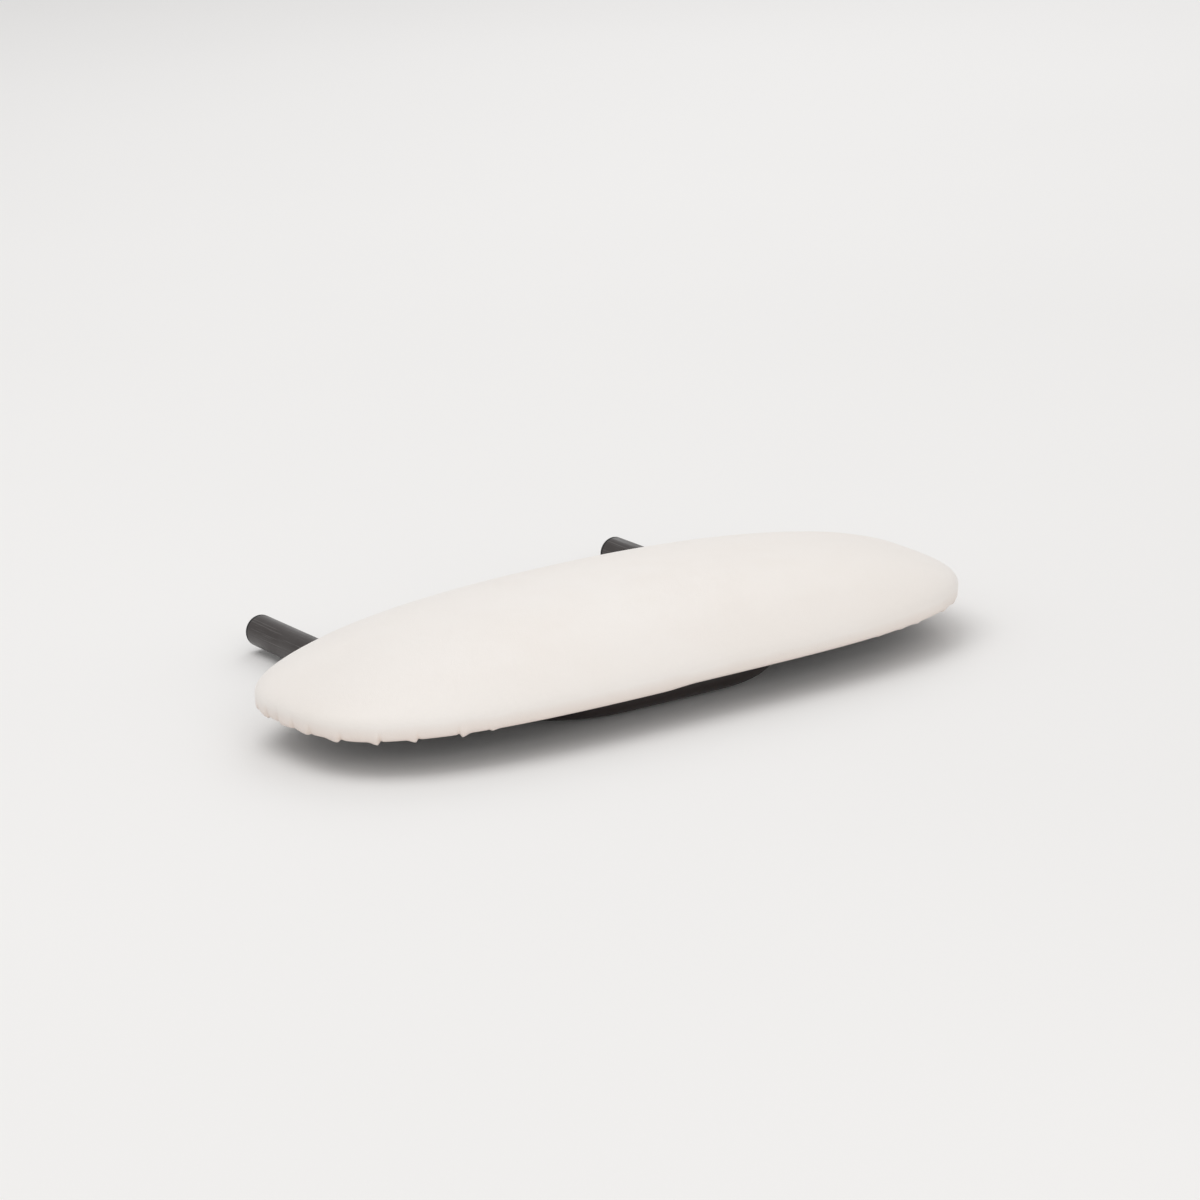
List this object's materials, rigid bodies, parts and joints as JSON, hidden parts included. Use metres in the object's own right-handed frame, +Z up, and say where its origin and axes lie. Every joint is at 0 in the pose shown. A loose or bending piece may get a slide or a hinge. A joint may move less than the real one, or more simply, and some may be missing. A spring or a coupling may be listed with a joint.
{
  "type": "massage table armrest cushion",
  "caption": "Rounded oblong upholstered cushion on a plywood board, carried by a bent tube whose two prongs plug into a massage table's side rail.",
  "frame": {"origin": "centre of the whole part's footprint, on the plane of the clips it rests on", "axes": "+Z up through the cushion, +Y along the prongs towards the table, X along the table's edge"},
  "size_m": [0.432, 0.289, 0.0595],
  "materials": {
    "cover_vinyl": "smooth cream synthetic leather, soft sheen",
    "soft_foam": "open-cell comfort foam",
    "dense_foam": "firm open-cell foam",
    "plywood": "raw birch plywood",
    "lining_fabric": "black non-woven felt",
    "staple_wire": "zinc-plated wire",
    "frame_paint": "satin black powder coat",
    "plug_plastic": "moulded black polyethylene",
    "clip_paint": "satin black powder coat",
    "screw_steel": "zinc-plated steel",
    "nut_steel": "zinc-plated steel"
  },
  "bodies": {
    "root": {"upholstery_cover": "cover_vinyl", "comfort_foam": "soft_foam", "firm_foam": "dense_foam", "base_board": "plywood", "underside_lining": "lining_fabric", "cover_staples": "staple_wire", "lining_staples": "staple_wire", "support_frame": "frame_paint", "end_plug_left": "plug_plastic", "end_plug_right": "plug_plastic", "frame_clip_front_left": "clip_paint", "frame_clip_rear_left": "clip_paint", "frame_clip_front_right": "clip_paint", "frame_clip_rear_right": "clip_paint", "clip_screw_front_left_a": "screw_steel", "clip_screw_front_left_b": "screw_steel", "clip_screw_rear_left_a": "screw_steel", "clip_screw_rear_left_b": "screw_steel", "clip_screw_front_right_a": "screw_steel", "clip_screw_front_right_b": "screw_steel", "clip_screw_rear_right_a": "screw_steel", "clip_screw_rear_right_b": "screw_steel", "t_nut_front_left_a": "nut_steel", "t_nut_front_left_b": "nut_steel", "t_nut_rear_left_a": "nut_steel", "t_nut_rear_left_b": "nut_steel", "t_nut_front_right_a": "nut_steel", "t_nut_front_right_b": "nut_steel", "t_nut_rear_right_a": "nut_steel", "t_nut_rear_right_b": "nut_steel"}
  },
  "joints": []
}
